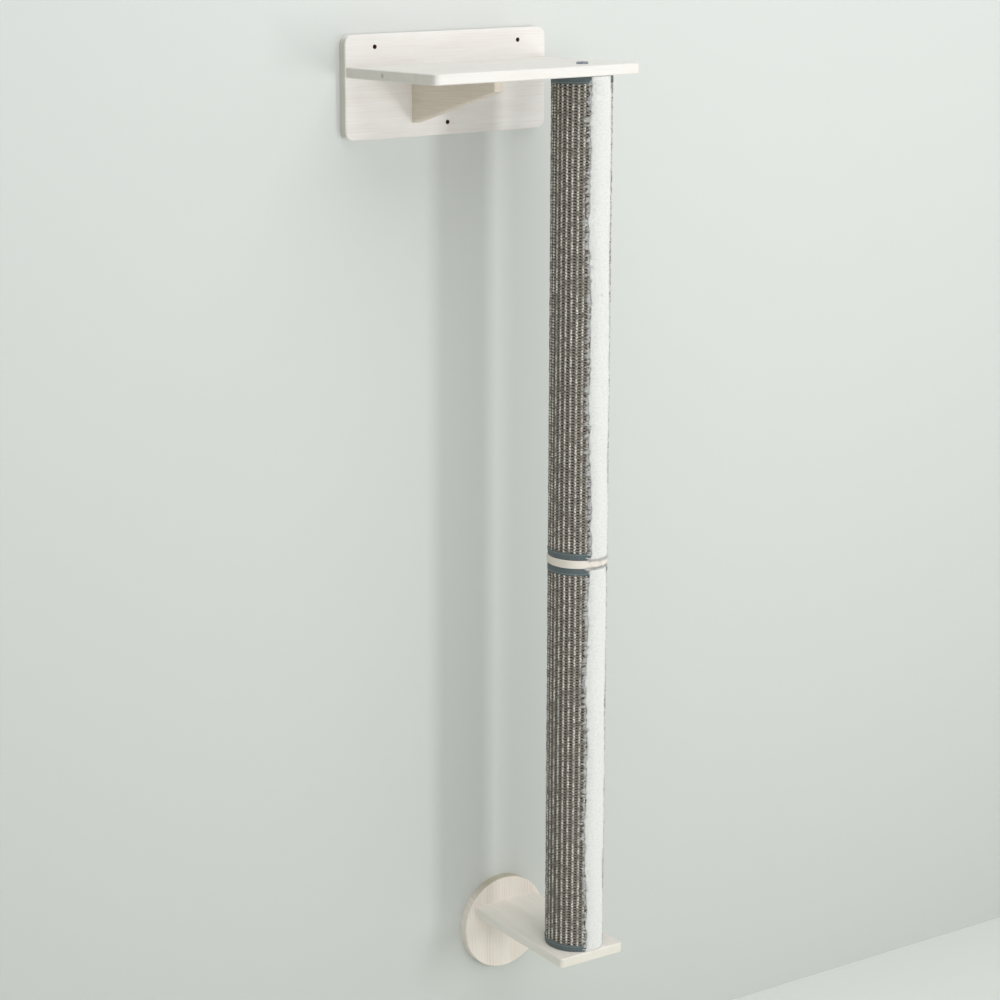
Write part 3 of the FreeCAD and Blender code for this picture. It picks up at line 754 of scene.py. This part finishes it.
# %% The pile
def strands(name, post, count, tuft_places, length, rise, spread, thick, seed):
    """Tapered strands of three sides: root + length * (out * t + comb * t squared), t from 0 to 1.

    They grow in tufts: a strand takes its tuft's place across the strip (-1 to 1), its lean and its
    droop, and adds a little of its own. Where the strips meet, tufts hang over the disc between.
    """
    low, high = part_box(post + "_plush_strip")
    rng = np.random.default_rng(seed)
    tufts = tuft_places.size
    tuft = rng.integers(0, tufts, count)
    down = 1 if post == "upper" else -1
    meeting = rng.uniform(0, 1, tufts) < 0.03
    share = np.where(meeting, 0.5 - 0.497 * down, rng.uniform(0.004, 0.996, tufts))
    over = meeting[tuft]
    share = np.clip(share[tuft] + rng.normal(0, 0.0011, count), 0.003, 0.997)
    s = tuft_places[tuft] + rng.normal(0, 0.035, count)
    left, right = strip_sides(post, share, 40)
    offset = (left + right) / 2 + s * ((right - left) / 2 - edge_inset)
    crown = (1 - np.minimum(np.abs(s), 1) ** 2) ** 0.8
    lift = 0.1 + 3.7 * crown * rng.uniform(0.4, 1.0, count)
    angle = offset / 44.0
    z = low.z + (high.z - low.z) * share
    root = round_post((glue_radius + 0.03 + lift) * mm, angle, z)
    outward = np.stack([np.sin(angle), -np.cos(angle), 0 * angle], axis=-1)
    sideways = np.stack([np.cos(angle), np.sin(angle), 0 * angle], axis=-1)
    upward = np.array([0.0, 0.0, 1.0])
    lean = (s * spread + rng.normal(0, 0.3, tufts)[tuft] + rng.normal(0, 0.12, count))[:, None]
    droop = rng.normal(-0.1, 0.5, tufts)[tuft] + rng.normal(0, 0.15, count)
    droop = (droop - 1.6 * down * over)[:, None]
    size = rng.uniform(*length, tufts)[tuft] * rng.uniform(0.7, 1.1, count)
    size = size[:, None, None] * mm
    out = outward * rise + sideways * lean + upward * droop * 0.6
    comb = sideways * lean * 0.3 + upward * droop * 0.6 - outward * rise * 0.8
    t = np.array([0.0, 0.5, 1.0])[None, :, None]
    spine = root[:, None] + size * (out[:, None] * t + comb[:, None] * t ** 2)
    spin = rng.uniform(0, 2 * math.pi, count)[:, None] + np.array([0, 2.1, 4.2])[None, :]
    ring = np.cos(spin)[..., None] * sideways[:, None] + np.sin(spin)[..., None] * upward
    girth = thick * np.array([1.0, 0.8, 0.15])[None, :, None, None] * mm
    points = spine[:, :, None] + girth * ring[:, None]
    reach = np.array([7.0, -0.2])[::down] * mm
    points[..., 2] = np.clip(points[..., 2], low.z - reach[0], high.z + reach[1])
    v = np.broadcast_to((share * (high.z - low.z) * 1000)[:, None, None], (count, 3, 4))
    u = np.broadcast_to((offset + 20)[:, None, None], (count, 3, 4))
    thing = piece(name, points, np.stack([u, v], axis=-1), closed=True, capped=True)
    thing.data.materials.append(plush_strand)
    return thing


def pile(post, count, seed):
    """Edge tufts crowd towards each edge by a square; face tufts are spread evenly."""
    rng = np.random.default_rng(seed)
    side = np.where(rng.uniform(0, 1, count // 22) < 0.65, -1, 1)
    edge = side * (1.04 - 0.1 * rng.uniform(0, 1, count // 22) ** 2)
    strands(post + "_pile_edges", post, count * 2 // 3, edge, (1.6, 5.5), 0.25, 0.9, 0.18,
            seed + 10)
    face = rng.uniform(-0.95, 0.95, count // 7)
    strands(post + "_pile_face", post, count, face, (1.8, 3.2), 0.7, 0.7, 0.2, seed + 20)


# %% Dress the post
for post, length, count in (("upper", 0.698, 13500), ("lower", 0.598, 12000)):
    ground = ground_weave(post)
    cords = chains(post)
    for end in ("bottom", "top"):
        band = tape(post, end)
        stitches(post, end)
    plush(post)
    pile(post, count, 60 if post == "upper" else 61)

# %% [markdown]
# ## Wall, floor, light and camera
# The wall is a plain pale grey-green and takes the post's soft shadow. Its colour is a little
# lighter towards the top, painted light that stands for the ceiling's glow. A tall lamp stands to
# the right, lower than the shelf, so the shelf throws no shadow on the plate. A weak one to the
# left makes the second, fainter shadow, and a wide panel overhead does a pale ceiling's work. Two
# faint panels, to the side and low in front, stand for what the rest of the room throws back.

# %% Wall and floor
def stage_plane(name, corners, lower, upper):
    """A flat pale surface, not part of the object, whose colour changes with height.
    A lighter upper colour is painted light from above.

    From behind it lets the view through, and so it does for light that sets out a hair's breadth
    before it, or the backs that touch the wall would be black when seen from behind.
    """
    mesh = bpy.data.meshes.new(name)
    mesh.from_pydata(corners, [], [(0, 1, 2, 3)])
    thing = bpy.data.objects.new(name, mesh)
    bpy.context.scene.collection.objects.link(thing)
    made, tree, shader = material(name)
    coords = add_node(tree, "ShaderNodeTexCoord").outputs["Object"]
    height = add_node(tree, "ShaderNodeSeparateXYZ", {0: coords}).outputs[2]
    climb = plus(tree, height, times(tree, noise(tree, coords, 1.3, 2.0), 0.12))
    # Painted light: the colour climbs from the lower to the upper one, lighter towards the top.
    share = add_node(tree, "ShaderNodeMapRange", {0: climb, 1: -1.6, 2: 0.2}).outputs[0]
    tree.links.new(colour_mix(tree, share, lower, upper), shader.inputs["Base Color"])
    shader.inputs["Roughness"].default_value = 0.9
    shader.inputs["Specular IOR Level"].default_value = 0.1
    clear = add_node(tree, "ShaderNodeBsdfTransparent").outputs[0]
    behind = add_node(tree, "ShaderNodeNewGeometry").outputs["Backfacing"]
    path = add_node(tree, "ShaderNodeLightPath").outputs["Ray Length"]
    close = maths(tree, "LESS_THAN", path, 0.0012)
    open_way = maths(tree, "MAXIMUM", behind, close)
    mixed = add_node(tree, "ShaderNodeMixShader", {0: open_way, 1: shader.outputs[0], 2: clear})
    tree.links.new(mixed.outputs[0], tree.nodes["Material Output"].inputs["Surface"])
    mesh.materials.append(made)
    return thing


wall_y = 0.0004
floor_z = -1.66
side, top = 6, 4
# Painted light: the wall's upper colour is lighter, for the ceiling's glow on its top.
stage_plane("wall", [(-side, wall_y, floor_z), (side, wall_y, floor_z),
                     (side, wall_y, top), (-side, wall_y, top)],
            rgb(202, 206, 201), rgb(217, 220, 217))
stage_plane("floor", [(-side, -side, floor_z), (side, -side, floor_z),
                      (side, wall_y, floor_z), (-side, wall_y, floor_z)],
            rgb(226, 228, 224), rgb(226, 228, 224))

# %% World and lamps
world = bpy.data.worlds.new("pale room")
world.use_nodes = True
background = world.node_tree.nodes["Background"]
background.inputs["Color"].default_value = rgb(252, 253, 253)
background.inputs["Strength"].default_value = 0.47
bpy.context.scene.world = world


def lamp(name, place, facing, width, height, power):
    """A rectangular lamp at a place, shining in a direction; its height is its upright side."""
    data = bpy.data.lights.new(name, "AREA")
    data.shape = "RECTANGLE"
    data.size = width
    data.size_y = height
    data.energy = power
    thing = bpy.data.objects.new(name, data)
    bpy.context.scene.collection.objects.link(thing)
    away = -Vector(facing).normalized()
    turn = away.to_track_quat("Z", "Y").to_matrix().to_4x4()
    thing.matrix_world = Matrix.Translation(place) @ turn
    return thing


lamp("right lamp", (1.08, -2.83, -0.55), (-0.334, 0.943, 0), 0.35, 0.9, 18.5)
lamp("left lamp", (-0.70, -2.90, -0.1), (0.259, 0.966, 0), 0.45, 0.6, 9.5)
lamp("ceiling panel", (0.2, -2.2, 2.2), (0, 0.3, -1), 3.5, 2.5, 49.0)
lamp("side panel", (2.6, -1.6, 0.3), (-1, 0.6, -0.1), 2.0, 2.4, 10.0)
lamp("low panel", (-0.3, -3.6, -1.0), (0, 1, 0.05), 2.4, 1.2, 6.0)

# %% [markdown]
# The photograph looks down at the post from the left and from a little above the shelf, and it is
# cut from a wider picture, so the camera's lens is shifted instead of turned.

# %% Camera
yaw, pitch, roll = math.radians(29.398), math.radians(11.883), math.radians(1.091)
ahead = Vector((math.sin(yaw) * math.cos(pitch), math.cos(yaw) * math.cos(pitch),
                -math.sin(pitch)))
level = Vector((math.cos(yaw), -math.sin(yaw), 0))
above = level.cross(ahead)
rightward = math.cos(roll) * level - math.sin(roll) * above
upward = math.sin(roll) * level + math.cos(roll) * above
camera = bpy.data.objects.new("camera", bpy.data.cameras.new("camera"))
bpy.context.scene.collection.objects.link(camera)
turn = Matrix((rightward, upward, -ahead)).transposed().to_4x4()
camera.matrix_world = Matrix.Translation((-1.9303, -2.8559, 0.1758)) @ turn
camera.data.sensor_width = 36.0
camera.data.lens = 83.93
camera.data.shift_x = 0.2433
camera.data.shift_y = -0.0863
bpy.context.scene.camera = camera
bpy.context.scene.view_settings.view_transform = "Standard"
